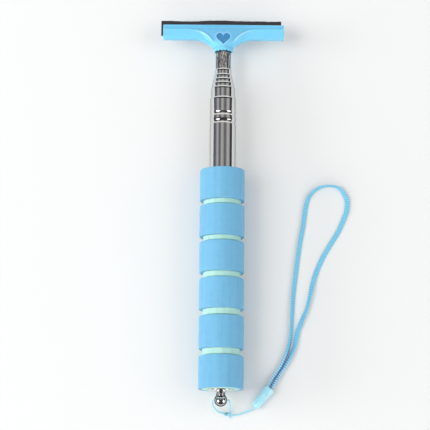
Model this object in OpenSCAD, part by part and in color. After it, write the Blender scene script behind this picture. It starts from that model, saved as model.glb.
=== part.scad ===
// Collapsible squeegee: a T-shaped head with a rubber blade on a seven-tube
// telescopic rod, with a two-layer foam grip and a wrist lanyard.
// Frame: the rod's axis runs along +Y, towards the head, and the grip lies on Z = 0.

/* [Rod] */
// Outside diameter of the largest tube
rod_d = 16; // [15.5:0.1:16.5]
// How much smaller in diameter each tube is than the one around it
tube_step = 1.12; // [1.1:0.01:1.16]
// Wall thickness of every tube
wall = 0.35; // [0.3:0.01:0.36]
// Length of the largest tube
rod_len = 180.1; // [170:0.1:190]
// How far each inner tube shows past the next larger one, tube 2 to tube 6
tube_show = [3.5, 2.7, 2.6, 2.9, 6.9]; // [2.5:0.1:8]
// How far the innermost tube shows between tube 2 and the head
tube_1_show = 10.9; // [10:0.1:12]
// Rolled grooves in the largest tube, measured from its rear end
rod_grooves = [164.35, 169.5]; // [150:0.05:170]
// Length of the necked-in front end of each tube
neck_len = 8; // [6:0.5:9]
// Length of the seat for the friction sleeve at each inner tube's base
seat_len = 21; // [12:0.5:24]

/* [Grip] */
// Outside diameter of the foam grip
grip_d = 27.4; // [24:0.1:32]
// Thickness of the outer foam layer
skin_t = 2; // [1.5:0.1:3]
// How deep the grooves go into the inner foam layer
groove_extra = 0.3; // [0.1:0.1:0.6]
// Lengths of the six outer rings, from the rear end to the front
ring_len = [19.8, 19.8, 18.8, 18.8, 19.1, 19.4]; // [15:0.1:22]
// Lengths of the five grooves between them, from the rear end to the front
groove_len = [4.2, 4.2, 3.7, 3.3, 3.3]; // [2:0.1:6]
// Rounding of the outer rings' edges
ring_round = 0.6; // [0.2:0.1:1]

/* [Head] */
// Length of the head
head_w = 75; // [70:1:90]
// Height of the head's wings along the rod
wing_h = 9.25; // [8:0.05:11]
// Thickness of the wings
wing_t = 5; // [4.5:0.1:6]
// Diameter of the collar around the rod
collar_d = 12; // [11.8:0.1:13]
// Radius of the curve from the wings down to the collar
sweep_r = 17; // [16:0.1:18]
// Distance of that curve's centre from the rod's axis
sweep_x = 19; // [18:0.1:20]
// Distance from the collar's mouth to the wings' rear edge
collar_to_wing = 8.25; // [8:0.05:9]
// Depth of the recessed strip along the wings' front edge
web_depth = 0.6; // [0.3:0.1:0.8]
// Width of the heart-shaped recess
heart_w = 8.4; // [6:0.1:9]

/* [Blade] */
// Length of the rubber blade
blade_len = 74.6; // [70:0.1:75]
// Width of the rubber blade across its edge and root
blade_w = 9.6; // [9:0.1:10]
// Thickness of the rubber blade
blade_t = 1.6; // [1.2:0.1:2]
// How far the blade stands out of the head
blade_out = 2.6; // [2:0.1:4]
// How far the blade sits off the head's middle
blade_shift = -1.4; // [-3:0.1:3]

/* [Rear end] */
// Diameter of the ball at the rear end
ball_d = 7.9; // [7:0.1:9]
// Radius of the hole across the ball
ball_hole_r = 0.8; // [0.6:0.1:1.2]
// Distance from the grip's rear face to the ball's centre
ball_from_grip = 6.35; // [6:0.05:7]

/* [Lanyard] */
// Diameter of the thin string
string_d = 0.9; // [0.7:0.1:1.2]
// Width of the flat strap
strap_w = 2.9; // [2:0.1:3]
// Thickness of the flat strap
strap_t = 0.9; // [0.7:0.1:1]
// Radius of the barrel at its narrow end
barrel_r1 = 2.35; // [2.2:0.05:2.5]
// Radius of the barrel at its wide end
barrel_r2 = 3.25; // [3:0.05:3.4]
// Length of the barrel
barrel_len = 14.6; // [14:0.1:15]

/* [Hidden] */
$fn = 64;
axis_z = grip_d / 2;
chrome_col = "silver";
blue_col = "skyblue";
clear = 0.02;

// Stations along the rod, with the whole squeegee centred on Y = 0
grip_len = sum(ring_len) + sum(groove_len);
grip_y = -109.7;
ball_y = grip_y - ball_from_grip;
rod_top = grip_y + rod_len;
show_sum = [for (k = [0:5]) k == 0 ? 0 : sum([for (i = [6 - k:5]) tube_show[i - 1]])];
head_y = rod_top + sum(tube_show) + tube_1_show;
wing_y = head_y + collar_to_wing;
wing_top = wing_y + wing_h;
blade_edge_y = wing_top + blade_out;
blade_root_y = blade_edge_y - blade_w;

// Tubes
plug_len = 5.1;
base_step = wall + 0.1;
flange_in = 0.9;
bead = 0.13;
neck_in = tube_step / 2 - wall - 2 * clear;
groove_in = neck_in;
mouth_round = 0.22;
spigot_r = 3.2;
spigot_len = 5.8;
shoulder_y = head_y + 4.2;
bead_len = 0.5;
bead_ramp = 0.2;
sleeve_play = 0.1;
sleeve_slit = 1;
neck_ramp = 1;
groove_half = 0.4;
groove_ramp = 0.5;
groove_land = 0.07;
shoulder_round = 0.5;

// End cap and ball
cap_flange_t = 0.8;
cap_flange_round = 0.3;
cap_step_r = 3.75;
cap_step_y = 1.5;
cap_neck_r = 3.3;
cap_neck_y = 2.3;
stem_r = 1.5;
ball_neck_r = 2.7;
stem_in = 2.5;

// Head
socket_mouth_r = 5.25;
socket_mouth_len = 3;
rib_n = 8;
rib_w = 1;
blade_bead_r = 1.25;
slot_clear = 0.05;
top_strip = 2.4;
hub_slope = 10.5;
heart_tip = [4.4, 4.7];
wing_corner = 0.6;
collar_round = 0.3;
collar_len = 2.6;
collar_step = 0.4;

// Barrel, lying on its side with its narrow end towards the ball
barrel_at = [20.6, -118.9];
barrel_turn = 50.7;
barrel_tilt = atan((barrel_r2 - barrel_r1) / barrel_len);
pocket_r = 2.5;
pocket_len = 6;

// Route of the string: its tail, the ball's right hole, the ball, its left hole, the barrel
string_path = [
    [5.7, -125.8, 0.5], [5.6, -124.6, 0.5], [5.6, -123.4, 0.5], [5.8, -121.6, 0.7],
    [5.9, -119.8, 2.4], [5.7, -118, 5.8], [5.4, -116.8, 9.4], [5, -116.1, 12.3],
    [4.3, ball_y, 13.45], [3.3, ball_y, 13.65], [0, ball_y, 13.7], [-3.2, ball_y, 13.7],
    [-4.35, -116.1, 13.5], [-5, -116.6, 12.5], [-5, -117.5, 11.1], [-4.6, -118.7, 8.8],
    [-3.7, -120, 5.2], [-2.4, -121.2, 2.2], [-0.7, -122.2, 0.8], [1.6, -122.9, 0.6],
    [3.8, -123.4, 0.9], [5.9, -123.6, 1.5], [8, -123.75, 0.8], [10.2, -123.6, 0.5],
    [12.4, -123, 0.5], [14.6, -122.2, 0.5], [17, -121.3, 0.8], [19.1, -120.2, 1.5],
    [20.8, -118.6, 2.2], [22.2, -116.9, 2.5], [23, -115.9, 2.5]
];
knot_at = [3.3, -123.2, 1.15];

// Route of the strap: X, Y, how far it is lifted off the table, and its roll (0 flat, 90 on edge)
strap_path = [
    [26.2, -110.6, 1.5, 52], [27.85, -108.6, 1.6, 54], [29.3, -106.35, 1.35, 55], [30.85, -102.7, 0.6, 56],
    [33.5, -98.5, 0.1, 56], [36.25, -94.1, 0, 52], [38.4, -89.7, 0, 48], [40.15, -85.4, 0, 48],
    [41.4, -81.1, 0, 50], [42.35, -76.8, 0, 52], [42.95, -70, 0, 52], [43.35, -62, 0, 46],
    [43.75, -54, 0, 38], [44.35, -46, 0, 26], [45.5, -37, 0, 26], [46.7, -27, 0, 26],
    [48.2, -17, 0, 26], [49.95, -7.5, 0, 24], [51.05, 1, 0, 20], [52.4, 8, 0, 28],
    [54.9, 12.9, 0, 50], [59.5, 16.8, 0, 64], [65.4, 18.5, 0, 84], [71, 17.6, 0, 75],
    [74.7, 14.2, 0, 45], [77.1, 9.2, 0, 20], [76.85, 3, 0, 12], [74.75, -3.2, 0, 6],
    [71.8, -10.2, 0, 0], [67.2, -17.8, 0, 0], [62.6, -25.8, 0, 0], [58.8, -34, 0, 4],
    [56.15, -42, 0, 20], [54.2, -50.5, 0, 46], [53.1, -55, 0, 50], [51.8, -59.5, 0, 48],
    [50, -63.8, 0, 38], [48.3, -68.1, 0, 28], [46.6, -72.5, 0, 22], [45.7, -76.8, 0, 30],
    [44.9, -81.1, 0, 42], [43.3, -85.4, 0, 48], [41.4, -89.7, 0, 50], [39, -94.1, 0, 54],
    [36.2, -98.5, 0.1, 56], [33.5, -102.7, 0.6, 56], [31, -106.8, 1.35, 55], [29.4, -109.4, 1.6, 54],
    [27.8, -111.6, 1.5, 52]
];

function sum(v, i = 0) = i < len(v) ? v[i] + sum(v, i + 1) : 0;
function head_of(v, n) = n == 0 ? [] : [for (i = [0:n - 1]) v[i]];
function arc(c, r, a0, a1, n = 8) =
    [for (i = [0:n]) c + r * [cos(a0 + (a1 - a0) * i / n), sin(a0 + (a1 - a0) * i / n)]];
function mirrored(v) = [for (i = [len(v) - 1:-1:0]) [-v[i][0], v[i][1]]];

// Tube k counts from the innermost, 1, to the largest, 7
function tube_r(k) = (rod_d - (7 - k) * tube_step) / 2;
function tube_base(k) = k == 7 ? grip_y : grip_y + plug_len + 0.1 + (6 - k) * base_step;
function tube_top(k) = rod_top + show_sum[7 - k];

// Places a solid drawn up +Z on the rod's axis, with its zero at station y
module on_axis(y) translate([0, y, axis_z]) rotate([-90, 0, 0]) children();

// Places a flat outline drawn in X and Y across the head, from depth z0 to z1
module across(z0, z1) translate([0, 0, axis_z + z0]) linear_extrude(z1 - z0) children();

module revolved(outline) rotate_extrude() polygon(outline);

// Outside of an inner tube's base: a seat between two beads for the friction sleeve
function seat(r) = [
    [r + bead, 0], [r + bead, bead_len], [r, bead_len + bead_ramp], [r, seat_len],
    [r + bead, seat_len + bead_ramp], [r + bead, seat_len + bead_ramp + bead_len],
    [r, seat_len + 2 * bead_ramp + bead_len]
];

// One inner tube: a base turned inwards, a seat between two beads, a necked-in mouth
module inner_tube(k) {
    r = tube_r(k);
    h = tube_top(k) - tube_base(k);
    neck = r - neck_in;
    mouth = [
        [r, h - neck_len - neck_ramp], [neck, h - neck_len], [neck, h - mouth_round],
        [neck - mouth_round * 0.3, h - mouth_round * 0.3], [neck - mouth_round, h],
        [neck - wall, h], [neck - wall, h - neck_len], [r - wall, h - neck_len - neck_ramp]
    ];
    floor = [[r - wall, wall], [r - flange_in, wall], [r - flange_in, 0]];
    color(chrome_col) on_axis(tube_base(k)) revolved(concat(seat(r), mouth, floor));
}

// The innermost tube ends in a swaged spigot that fits the head's socket
module tube_1() {
    r = tube_r(1);
    step_h = shoulder_y - tube_base(1);
    h = step_h + spigot_len;
    c = shoulder_round;
    outside = [[r, step_h - c], [r - c, step_h], [spigot_r, step_h], [spigot_r, h]];
    inside = [
        [spigot_r - wall, h], [spigot_r - wall, step_h - wall], [r - wall - c, step_h - wall],
        [r - wall, step_h - wall - c], [r - wall, wall], [r - flange_in, wall],
        [r - flange_in, 0]
    ];
    color(chrome_col) on_axis(tube_base(1)) revolved(concat(seat(r), outside, inside));
}

// The largest tube, with two rolled grooves that stop and guide tube 6
module tube_7() {
    r = tube_r(7);
    neck = r - neck_in;
    g1 = rod_grooves[0];
    g2 = rod_grooves[1];
    half = groove_half;
    edge = groove_half + groove_ramp;
    dip = [
        [r, g1 - edge], [r - groove_in, g1 - half], [r - groove_in, g1 + half],
        [r - groove_land, g1 + edge], [r - groove_land, g2 - edge], [r - groove_in, g2 - half],
        [r - groove_in, g2 + half], [r, g2 + edge], [r, rod_len - neck_len - neck_ramp],
        [neck, rod_len - neck_len]
    ];
    lip = [
        [neck, rod_len - mouth_round],
        [neck - mouth_round * 0.3, rod_len - mouth_round * 0.3],
        [neck - mouth_round, rod_len], [neck - wall, rod_len]
    ];
    bore = [for (i = [len(dip) - 1:-1:0]) dip[i] - [wall, 0]];
    color(chrome_col) on_axis(grip_y)
        revolved(concat([[r, 0]], dip, lip, bore, [[r - wall, 0]]));
}

// Split spring sleeve that centres tube k in the next tube
module sleeve(k) {
    inner = tube_r(k) + clear;
    outer = tube_r(k + 1) - wall - clear;
    low = bead_len + bead_ramp + sleeve_play;
    color("goldenrod") on_axis(tube_base(k) + low) difference() {
        cylinder(h = seat_len - low - sleeve_play, r = outer);
        translate([0, 0, -1]) cylinder(h = seat_len + 2, r = inner);
        translate([0, -sleeve_slit / 2, -1]) cube([outer + 1, sleeve_slit, seat_len + 2]);
    }
}

module end_cap() {
    r = tube_r(7) - wall - clear;
    c = cap_flange_round;
    color(chrome_col) on_axis(grip_y) difference() {
        revolved([
            [0, plug_len], [r - c, plug_len], [r, plug_len - c], [r, 0], [tube_r(7), 0],
            [tube_r(7), c - cap_flange_t], [tube_r(7) - c, -cap_flange_t],
            [cap_step_r, -cap_flange_t], [cap_step_r, -cap_step_y],
            [cap_neck_r, -cap_step_y], [cap_neck_r, -cap_neck_y], [0, -cap_neck_y]
        ]);
        translate([0, 0, -cap_neck_y - 1]) cylinder(h = cap_neck_y + stem_in + 2, r = stem_r + clear);
    }
}

module ball_finial() {
    color(chrome_col) on_axis(ball_y) difference() {
        union() {
            sphere(d = ball_d);
            cylinder(h = ball_from_grip - cap_neck_y, r = ball_neck_r);
            cylinder(h = ball_from_grip + stem_in, r = stem_r);
        }
        rotate([0, 90, 0]) cylinder(h = ball_d + 2, r = ball_hole_r, center = true);
    }
}

// Start of foam ring i, counted 0 to 5 from the rear end
function ring_y(i) = grip_y + sum(head_of(ring_len, i)) + sum(head_of(groove_len, i));

module grip_core() {
    r = grip_d / 2 - skin_t - clear;
    color("paleturquoise") difference() {
        on_axis(grip_y) cylinder(h = grip_len, r = r);
        on_axis(grip_y - 1) cylinder(h = grip_len + 2, r = tube_r(7) + clear);
        for (i = [0:4]) on_axis(ring_y(i) + ring_len[i]) difference() {
            cylinder(h = groove_len[i], r = r + 1);
            translate([0, 0, -1]) cylinder(h = groove_len[i] + 2, r = r - groove_extra);
        }
    }
}

module grip_ring(i) {
    r = grip_d / 2;
    c = ring_round;
    h = ring_len[i];
    color(blue_col) on_axis(ring_y(i)) revolved(concat(
        [[r - skin_t, 0]], arc([r - c, c], c, -90, 0, 4), arc([r - c, h - c], c, 0, 90, 4),
        [[r - skin_t, h]]
    ));
}

module heart(w) {
    lobe = w * 0.27;
    translate([0, w * 0.56]) union() {
        for (s = [-1, 1]) translate([s * (w / 2 - lobe), 0]) circle(r = lobe);
        polygon([[-w / 2 + lobe * 0.22, -lobe * 0.62], [w / 2 - lobe * 0.22, -lobe * 0.62],
            [0, -w * 0.56]]);
        polygon([[-w * 0.3, -lobe * 0.8], [w * 0.3, -lobe * 0.8], [w * 0.2, 0], [0, lobe * 0.3],
            [-w * 0.2, 0]]);
    }
}

// Right half of the head's outline, from the collar up the sweep and round the wing
sweep_c = [sweep_x, wing_y - sweep_r];
sweep_end = 90 + asin((sweep_x - collar_d / 2 - collar_round) / sweep_r);
head_half = concat(
    arc(sweep_c, sweep_r, sweep_end, 90, 12),
    arc([head_w / 2 - wing_corner, wing_y + wing_corner], wing_corner, -90, 0, 4),
    arc([head_w / 2 - wing_corner, wing_top - wing_corner], wing_corner, 0, 90, 4)
);

// Right half of the hub's plan, from the collar out to the wings, above the collar's mouth
hub_half = [[5.4, 2.8], [5.6, 5], [7.2, 8], [9.6, 11], [13, 15.1]];
// Side view of the hub's upper half: distance from the collar's mouth, half thickness
hub_side = [[2.8, 5.6], [4.6, 5.5], [11.6, 4.2], [15.1, wing_t / 2]];
// Cone that rounds the hub off towards the collar: radius, distance from the collar's mouth
hub_cone = [[0, 2], [5.8, 2], [6.4, 5], [16, 16], [0, 16]];

// Thick middle of the head, which falls away from the collar towards the blade
module hub() translate([0, head_y, axis_z]) intersection() {
    linear_extrude(14, center = true) polygon(concat(hub_half, mirrored(hub_half)));
    rotate([90, 0, 90]) linear_extrude(40, center = true) polygon(concat(
        hub_side, [for (i = [len(hub_side) - 1:-1:0]) [hub_side[i][0], -hub_side[i][1]]]
    ));
    rotate([-90, 0, 0]) revolved(hub_cone);
}

module head() {
    half = wing_t / 2;
    r = collar_d / 2;
    color(blue_col) difference() {
        union() {
            across(-half, half) polygon(concat(head_half, mirrored(head_half)));
            hub();
            on_axis(head_y) revolved([
                [0, 0], [r - collar_round, 0], [r, collar_round], [r, collar_len],
                [r - collar_step, collar_len + collar_step], [r - collar_step, 5], [0, 5]
            ]);
        }
        for (side = [0, 1]) translate([0, head_y, axis_z]) mirror([0, 0, side]) {
            translate([-head_w, wing_top - top_strip - head_y, half - web_depth])
                cube([2 * head_w, top_strip + 1, 2]);
            translate([0, heart_tip[0], heart_tip[1]]) rotate([-hub_slope, 0, 0])
                linear_extrude(4) heart(heart_w);
        }
        on_axis(head_y - 1) difference() {
            cylinder(h = socket_mouth_len + 1, r = socket_mouth_r);
            for (a = [0:rib_n - 1]) rotate(a * 360 / rib_n)
                translate([tube_r(1) + clear, -rib_w / 2, -1]) cube([3, rib_w, 8]);
        }
        on_axis(head_y - 1) cylinder(h = shoulder_y - head_y + 1, r = tube_r(1) + clear);
        on_axis(shoulder_y - 1) cylinder(h = spigot_len + 1, r = spigot_r + clear);
        blade_solid(head_w + 4, slot_clear, 0);
    }
}

// The blade's strip with its round root bead, larger by gap for the head's slot
module blade_solid(length, gap, shift) {
    low = blade_root_y + blade_bead_r;
    translate([shift - length / 2, low, axis_z - blade_t / 2 - gap])
        cube([length, blade_edge_y - low + (gap > 0 ? 1 : 0), blade_t + 2 * gap]);
    translate([shift, low, axis_z]) rotate([0, 90, 0])
        cylinder(h = length, r = blade_bead_r + gap, center = true);
}

module blade() color("dimgray") blade_solid(blade_len, 0, blade_shift);

// Sweeps a flat section along a route; the fourth value of a point is its roll
function unit(v) = v / norm(v);
function place(p) = [p[0], p[1], p[2]];
function heading(path, i) =
    unit(place(path[min(i + 1, len(path) - 1)]) - place(path[max(i - 1, 0)]));
function carried(path, up, i = 0, out = []) =
    i == len(path) ? out : let (t = heading(path, i), n = unit(up - (up * t) * t))
        carried(path, n, i + 1, concat(out, [n]));
function ring_at(p, t, n, section) = let (
        a = len(p) > 3 ? p[3] : 0, s = cross(n, t),
        u = cos(a) * s + sin(a) * n, v = cos(a) * n - sin(a) * s
    ) [for (q = section) place(p) + q[0] * u + q[1] * v];

module swept(path, section, up) {
    m = len(section);
    last = len(path) - 1;
    ups = carried(path, up);
    rings = [for (i = [0:last]) each ring_at(path[i], heading(path, i), ups[i], section)];
    sides = [for (i = [0:last - 1]) for (j = [0:m - 1]) let (
            a = i * m + j, b = i * m + (j + 1) % m
        ) each [[a, b, b + m], [a, b + m, a + m]]];
    ends = [[for (j = [m - 1:-1:0]) j], [for (j = [0:m - 1]) last * m + j]];
    polyhedron(points = rings, faces = concat(sides, ends));
}

module lanyard_string() {
    color("lightcyan")
        swept(string_path, [for (j = [0:7]) string_d / 2 * [cos(j * 45), sin(j * 45)]], [0, 0, 1]);
}

module string_knot() color("lightcyan") translate(knot_at) sphere(r = 1.1);

module cord_barrel() {
    lift = barrel_r1 * cos(barrel_tilt);
    color("lightskyblue") translate([barrel_at[0], barrel_at[1], lift])
        rotate([0, 90 - barrel_tilt, barrel_turn]) difference() {
            cylinder(h = barrel_len, r1 = barrel_r1, r2 = barrel_r2);
            translate([0, 0, -1]) cylinder(h = barrel_len, r = string_d / 2 + 0.25);
            translate([0, 0, barrel_len - pocket_len]) cylinder(h = pocket_len + 1, r = pocket_r);
        }
}

// The strap's own edge rests on the table, so its middle is as high as its roll makes it
module wrist_strap() {
    w = strap_w / 2;
    t = strap_t / 2;
    c = 0.2;
    lying = [for (p = strap_path)
        [p[0], p[1], p[2] + w * abs(sin(p[3])) + t * abs(cos(p[3])) + 0.05, p[3]]];
    color("lightskyblue") swept(lying, [
        [w, -t + c], [w, t - c], [w - c, t], [c - w, t],
        [-w, t - c], [-w, c - t], [c - w, -t], [w - c, -t]
    ], [0, 0, 1]);
}

head();
blade();
tube_1();
inner_tube(2);  // tube_2
inner_tube(3);  // tube_3
inner_tube(4);  // tube_4
inner_tube(5);  // tube_5
inner_tube(6);  // tube_6
tube_7();
sleeve(1);  // sleeve_1
sleeve(2);  // sleeve_2
sleeve(3);  // sleeve_3
sleeve(4);  // sleeve_4
sleeve(5);  // sleeve_5
sleeve(6);  // sleeve_6
end_cap();
ball_finial();
grip_core();
grip_ring(0);  // grip_ring_1
grip_ring(1);  // grip_ring_2
grip_ring(2);  // grip_ring_3
grip_ring(3);  // grip_ring_4
grip_ring(4);  // grip_ring_5
grip_ring(5);  // grip_ring_6
lanyard_string();
string_knot();
cord_barrel();
wrist_strap();
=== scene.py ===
import math

import bmesh
import bpy
import numpy as np
from mathutils import Matrix, Vector


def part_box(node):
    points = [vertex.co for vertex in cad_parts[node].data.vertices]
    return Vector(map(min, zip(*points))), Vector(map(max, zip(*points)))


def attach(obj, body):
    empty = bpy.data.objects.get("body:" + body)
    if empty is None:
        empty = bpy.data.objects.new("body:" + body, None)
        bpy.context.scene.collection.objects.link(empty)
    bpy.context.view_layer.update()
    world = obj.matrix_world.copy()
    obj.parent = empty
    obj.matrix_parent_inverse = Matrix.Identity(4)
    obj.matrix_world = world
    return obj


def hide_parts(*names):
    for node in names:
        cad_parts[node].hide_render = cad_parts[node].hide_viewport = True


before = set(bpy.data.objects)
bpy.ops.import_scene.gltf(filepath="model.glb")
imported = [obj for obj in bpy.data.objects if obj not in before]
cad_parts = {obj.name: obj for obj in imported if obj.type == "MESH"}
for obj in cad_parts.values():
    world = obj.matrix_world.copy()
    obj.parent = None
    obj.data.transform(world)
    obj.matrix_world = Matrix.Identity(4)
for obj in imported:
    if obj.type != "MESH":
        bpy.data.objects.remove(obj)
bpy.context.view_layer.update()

MM = 0.001
HEAD_LOW, HEAD_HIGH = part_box("head")
GRIP_LOW, GRIP_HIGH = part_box("grip_core")
AXIS_Z = (HEAD_LOW.z + HEAD_HIGH.z) / 2 / MM  # height of the rod's axis, mm
MOUTH_Y = HEAD_LOW.y / MM  # the collar's mouth, mm
GRIP_Y = GRIP_LOW.y / MM  # the grip's rear face, mm
BARREL_AT, BARREL_TURN, BARREL_LEN = (20.6, -118.9), 50.7, 14.6


# ---------------------------------------------------------------- helpers
def smooth(low, high, x):
    """0 below low, 1 above high, and an S-curve between; low may be above high."""
    t = np.clip((np.asarray(x, float) - low) / (high - low), 0, 1)
    return t * t * (3 - 2 * t)


def soft_max(a, b, blend):
    """The larger of a and b, with the crease between them rounded."""
    return (a + b + np.sqrt((a - b) ** 2 + blend * blend)) / 2


def new_mesh(name, points_mm, faces, sharp=32):
    """A mesh object from points in mm, smooth except over edges sharper than the angle."""
    mesh = bpy.data.meshes.new(name)
    mesh.from_pydata([tuple(p) for p in np.asarray(points_mm, float) * MM], [], faces)
    bm = bmesh.new()
    bm.from_mesh(mesh)
    bmesh.ops.remove_doubles(bm, verts=bm.verts, dist=1e-7)
    bmesh.ops.recalc_face_normals(bm, faces=bm.faces)
    bm.to_mesh(mesh)
    bm.free()
    obj = bpy.data.objects.new(name, mesh)
    bpy.context.scene.collection.objects.link(obj)
    shade(obj, sharp)
    return obj


def shade(obj, sharp):
    """Smooth shading, except over edges sharper than the angle."""
    obj.data.shade_smooth()
    obj.data.set_sharp_from_angle(angle=math.radians(sharp))


def ring_faces(rows, around):
    """Quads between rows of points that each go once round."""
    faces = []
    for i in range(rows - 1):
        for j in range(around):
            k = (j + 1) % around
            faces.append((i * around + j, i * around + k, (i + 1) * around + k, (i + 1) * around + j))
    return faces


def tube_faces(rows, around):
    """The same, with a face over each end."""
    return ring_faces(rows, around) + [
        tuple(range(around - 1, -1, -1)), tuple((rows - 1) * around + j for j in range(around))]


def wheel_faces(steps, around):
    """Quads between closed outlines that stand in a closed circle."""
    faces = []
    for i in range(steps):
        k = (i + 1) % steps
        for j in range(around):
            m = (j + 1) % around
            faces.append((i * around + j, i * around + m, k * around + m, k * around + j))
    return faces


def arc(centre, radius, start, end, steps):
    """Points on an arc, angles in degrees."""
    return [(centre[0] + radius * math.cos(math.radians(start + (end - start) * i / steps)),
             centre[1] + radius * math.sin(math.radians(start + (end - start) * i / steps)))
            for i in range(steps + 1)]


def filleted(outline, steps=4):
    """Rounds the corners of a closed outline of (a, b, radius)."""
    out = []
    for i, (a, b, r) in enumerate(outline):
        here = Vector((a, b))
        to_last = Vector(outline[i - 1][:2]) - here
        to_next = Vector(outline[(i + 1) % len(outline)][:2]) - here
        if r <= 0:
            out.append((a, b))
            continue
        half = to_last.angle(to_next) / 2
        reach = min(r / math.tan(half), to_last.length * 0.49, to_next.length * 0.49)
        start, end = here + to_last.normalized() * reach, here + to_next.normalized() * reach
        for j in range(steps + 1):
            t = j / steps
            p = start * (1 - t) ** 2 + here * 2 * t * (1 - t) + end * t * t
            out.append((p.x, p.y))
    return out


def lathe(name, outline, y0, steps=128, sharp=32, wobble=None):
    """Spins a closed outline of (radius, distance along the rod from y0) round the rod's axis."""
    r = np.array([p[0] for p in outline], float)[None, :]
    y = np.array([p[1] for p in outline], float)[None, :] + y0
    a = (np.arange(steps) * 2 * math.pi / steps)[:, None]
    r, y = r + 0 * a, y + 0 * a
    if wobble:
        r, y = wobble(r, y, a + 0 * r)
    points = np.stack([r * np.sin(a), y, AXIS_Z + r * np.cos(a)], -1)
    return new_mesh(name, points.reshape(-1, 3), wheel_faces(steps, len(outline)), sharp)


def boolean(obj, other, operation):
    """Applies an exact boolean of the two meshes to obj and deletes the other."""
    modifier = obj.modifiers.new("cut", "BOOLEAN")
    modifier.operation = operation
    modifier.solver = "EXACT"
    modifier.object = other
    apply_modifiers(obj)
    bpy.data.objects.remove(other)


def apply_modifiers(obj):
    """Turns the object, as its modifiers leave it, into its own mesh."""
    graph = bpy.context.evaluated_depsgraph_get()
    graph.update()
    mesh = bpy.data.meshes.new_from_object(obj.evaluated_get(graph))
    mesh.name = obj.name
    obj.modifiers.clear()
    obj.data = mesh


def add_tone(mesh, name, values):
    """Gives each point of the mesh a value that its material reads."""
    tone = mesh.attributes.new(name, "FLOAT", "POINT")
    tone.data.foreach_set("value", np.asarray(values, np.float32).ravel())


def finished(obj, material, body, slot, *nodes):
    """Gives a piece its material and its body, and hides the CAD nodes that it stands for."""
    if material is not None:
        obj.data.materials.clear()
        obj.data.materials.append(material)
    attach(obj, body)
    if nodes:
        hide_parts(*nodes)
    return obj


# ---------------------------------------------------------------- materials
class Nodes:
    """A node tree with short calls for what the materials here use."""

    def __init__(self, tree):
        self.tree = tree
        tree.nodes.clear()

    def add(self, kind, inputs=None, **settings):
        node = self.tree.nodes.new(kind)
        for key, value in settings.items():
            setattr(node, key, value)
        for key, value in (inputs or {}).items():
            self.set(node.inputs[key], value)
        return node

    def set(self, socket, value):
        if isinstance(value, bpy.types.NodeSocket):
            self.tree.links.new(value, socket)
        else:
            socket.default_value = value

    def math(self, operation, a, b=0.0, c=0.0):
        node = self.add("ShaderNodeMath", operation=operation)
        for socket, value in zip(node.inputs, (a, b, c)):
            self.set(socket, value)
        return node.outputs[0]

    def ramp(self, factor, stops):
        node = self.add("ShaderNodeValToRGB", {"Fac": factor})
        band = node.color_ramp
        while len(band.elements) < len(stops):
            band.elements.new(0.5)
        for element, (at, colour) in zip(band.elements, stops):
            element.position = at
            element.color = (colour, colour, colour, 1) if isinstance(colour, float) else (*colour, 1)
        return node.outputs[0]

    def mix(self, factor, a, b):
        node = self.add("ShaderNodeMix", data_type="RGBA")
        for socket, value in zip((node.inputs[0], node.inputs[6], node.inputs[7]), (factor, a, b)):
            self.set(socket, value if isinstance(value, (float, bpy.types.NodeSocket)) else (*value, 1))
        return node.outputs[2]

    def attribute(self, name):
        return self.add("ShaderNodeAttribute", attribute_name=name).outputs["Fac"]

    def step(self, value, low, high):
        """0 at low, 1 at high, and an S-curve between."""
        return self.add("ShaderNodeMapRange", {"Value": value, "From Min": low, "From Max": high},
                        interpolation_type="SMOOTHSTEP").outputs[0]

    def place(self, scale=(1, 1, 1)):
        """Object coordinates, in metres times the scale."""
        at = self.add("ShaderNodeTexCoord").outputs["Object"]
        return self.add("ShaderNodeMapping", {"Vector": at, "Scale": scale}).outputs[0]

    def noise(self, at, scale, detail=3.0, rough=0.5):
        return self.add("ShaderNodeTexNoise", {
            "Vector": at, "Scale": scale, "Detail": detail, "Roughness": rough}).outputs["Fac"]

    def bump(self, height, strength, distance, normal=None):
        node = self.add("ShaderNodeBump", {"Height": height, "Strength": strength, "Distance": distance})
        if normal is not None:
            self.set(node.inputs["Normal"], normal)
        return node.outputs[0]

    def finish(self, **inputs):
        shader = self.add("ShaderNodeBsdfPrincipled")
        for key, value in inputs.items():
            self.set(shader.inputs[key.replace("_", " ")], value)
        out = self.add("ShaderNodeOutputMaterial")
        self.tree.links.new(shader.outputs[0], out.inputs[0])


def material(name):
    """A new material and its node tree."""
    made = bpy.data.materials.new(name)
    made.use_nodes = True
    return made, Nodes(made.node_tree)


def srgb(r, g, b):
    """An sRGB colour of 0 to 255, as linear light."""
    return tuple((c / 255 / 12.92) if c / 255 <= 0.04045 else ((c / 255 + 0.055) / 1.055) ** 2.4
                 for c in (r, g, b))


def scaled(colour, factor):
    return tuple(min(1, c * factor) for c in colour)


def moulded_plastic(name, colour, rough=0.27, inner=0.08):
    """Moulded polypropylene: soft gloss, flow marks, orange peel, painted shade over the lower web, painted
    highlights along the raised rims.
    """
    made, n = material(name)
    at = n.place()
    flow = n.noise(n.place((60, 200, 200)), 1.0, 2.0)
    peel = n.noise(at, 2200.0, 2.0)
    grit = n.noise(at, 9000.0, 1.0)
    base = n.mix(flow, scaled(colour, 0.93), scaled(colour, 1.05))
    # Painted shade darkens the web between the bands, and a painted highlight pales the raised rims
    thick = tuple(c * f for c, f in zip(colour, (0.74, 0.79, 0.87)))
    base = n.mix(n.math("MULTIPLY", n.attribute("web"), 0.9), base, thick)
    base = n.mix(n.math("MULTIPLY", n.attribute("rim"), 0.42), base, (0.72, 0.93, 1.0))
    roughness = n.math("ADD", rough, n.math("MULTIPLY", n.noise(at, 420.0), 0.06))
    normal = n.bump(grit, 0.08, 0.00001, n.bump(peel, 0.08, 0.00002))
    n.finish(Base_Color=base, Roughness=roughness, Normal=normal, Subsurface_Weight=inner,
             Subsurface_Scale=0.002, Subsurface_Radius=(0.5, 0.8, 1.0), IOR=1.47)
    return made


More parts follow.
